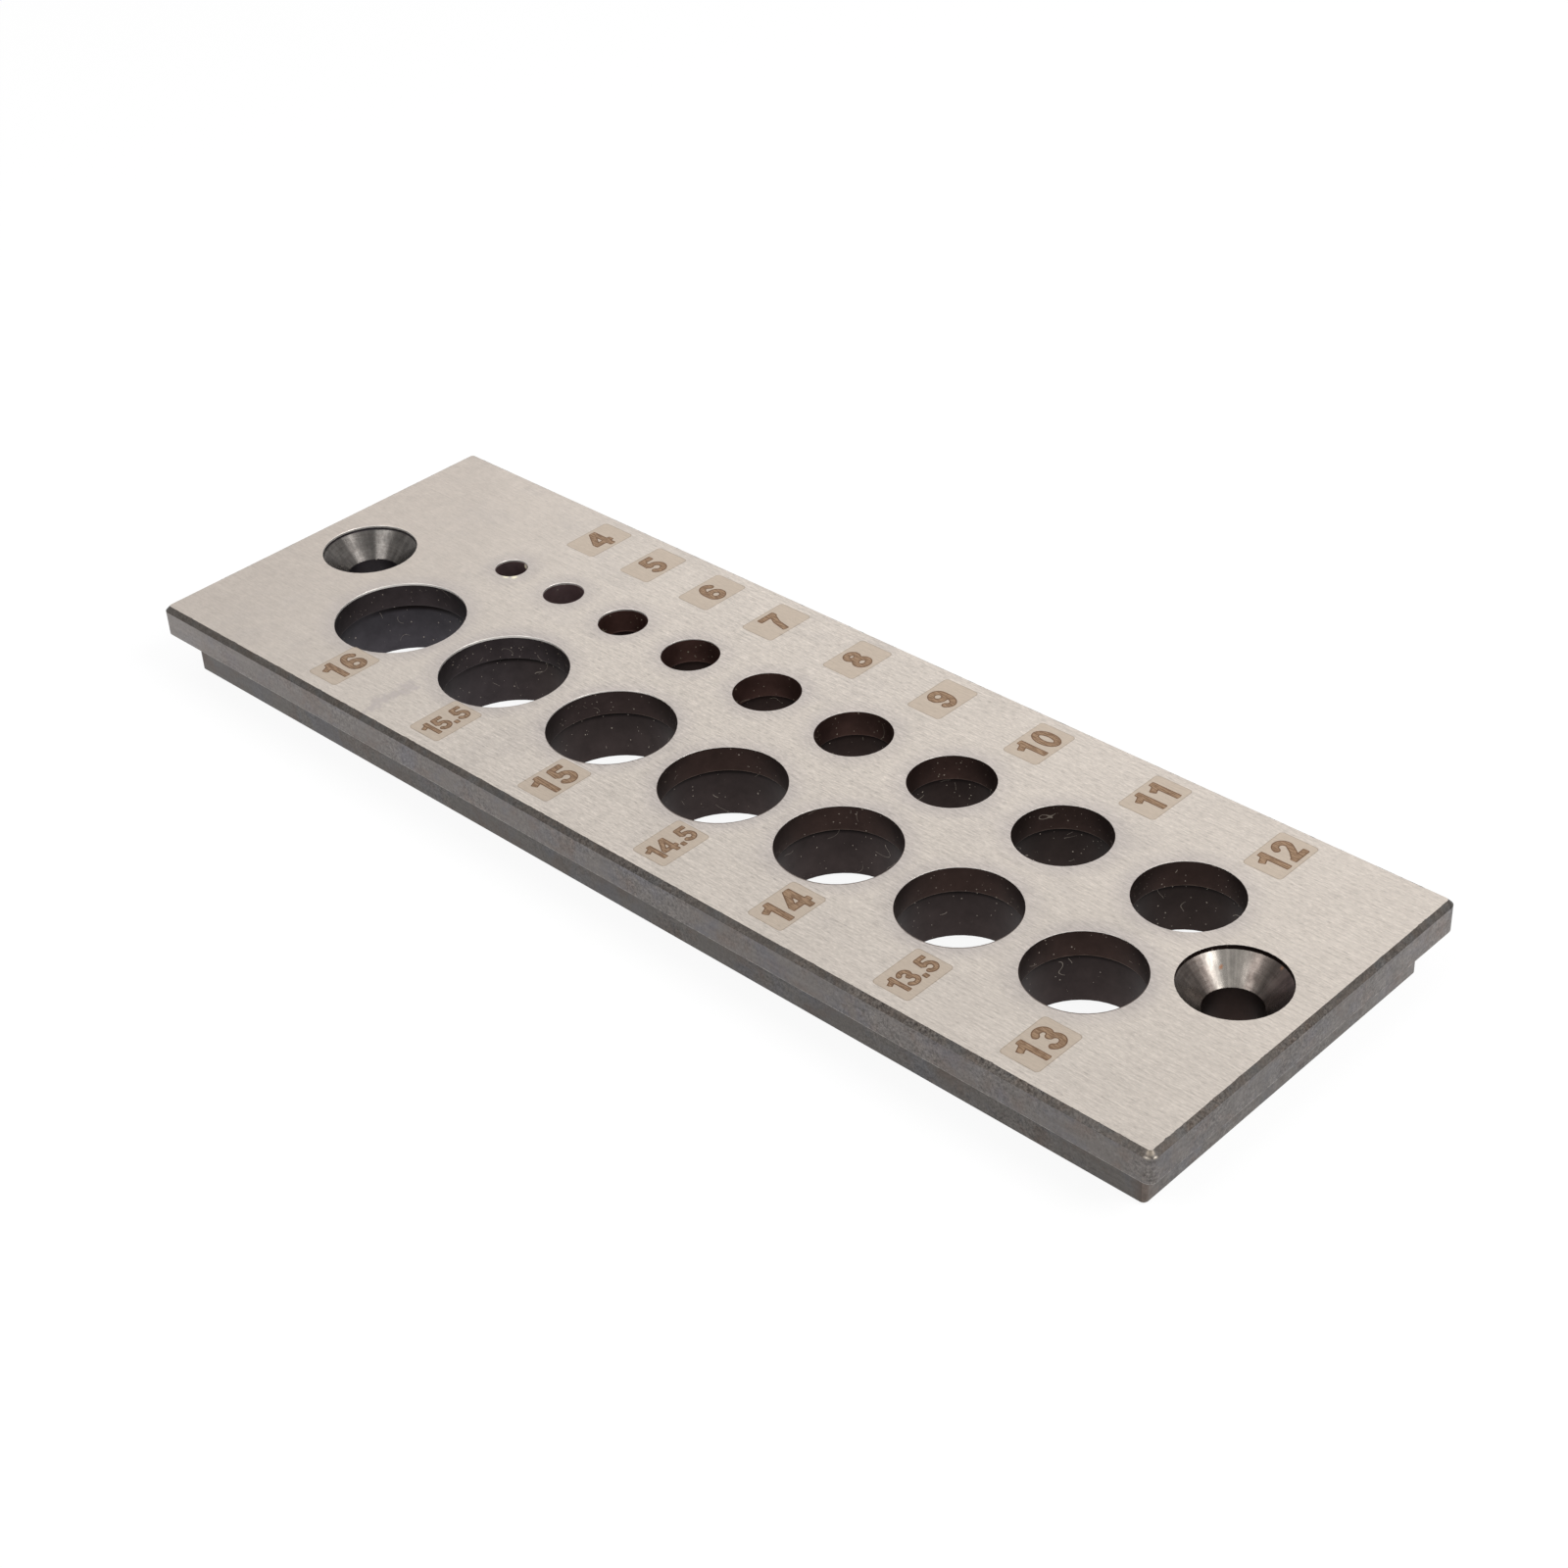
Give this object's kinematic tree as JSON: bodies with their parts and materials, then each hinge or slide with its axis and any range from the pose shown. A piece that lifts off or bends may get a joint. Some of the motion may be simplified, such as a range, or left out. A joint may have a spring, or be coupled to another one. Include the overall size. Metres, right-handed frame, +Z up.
{
  "type": "dowel plate",
  "caption": "Hardened steel dowel plate with rows of size-marked bores, a stepped edge all round and countersunk screw holes near its ends.",
  "frame": {"origin": "centre of the plate's underside", "axes": "+X along the length, towards the end with the 12 and 13 mm bores; +Y across, towards the row of 4 to 12 mm bores; +Z up, out of the top face"},
  "size_m": [0.1524, 0.0508, 0.0095],
  "materials": {
    "tool_steel": "surface-ground top face, darker hardened sides and bores"
  },
  "bodies": {
    "root": {"plate": "tool_steel"}
  },
  "joints": []
}
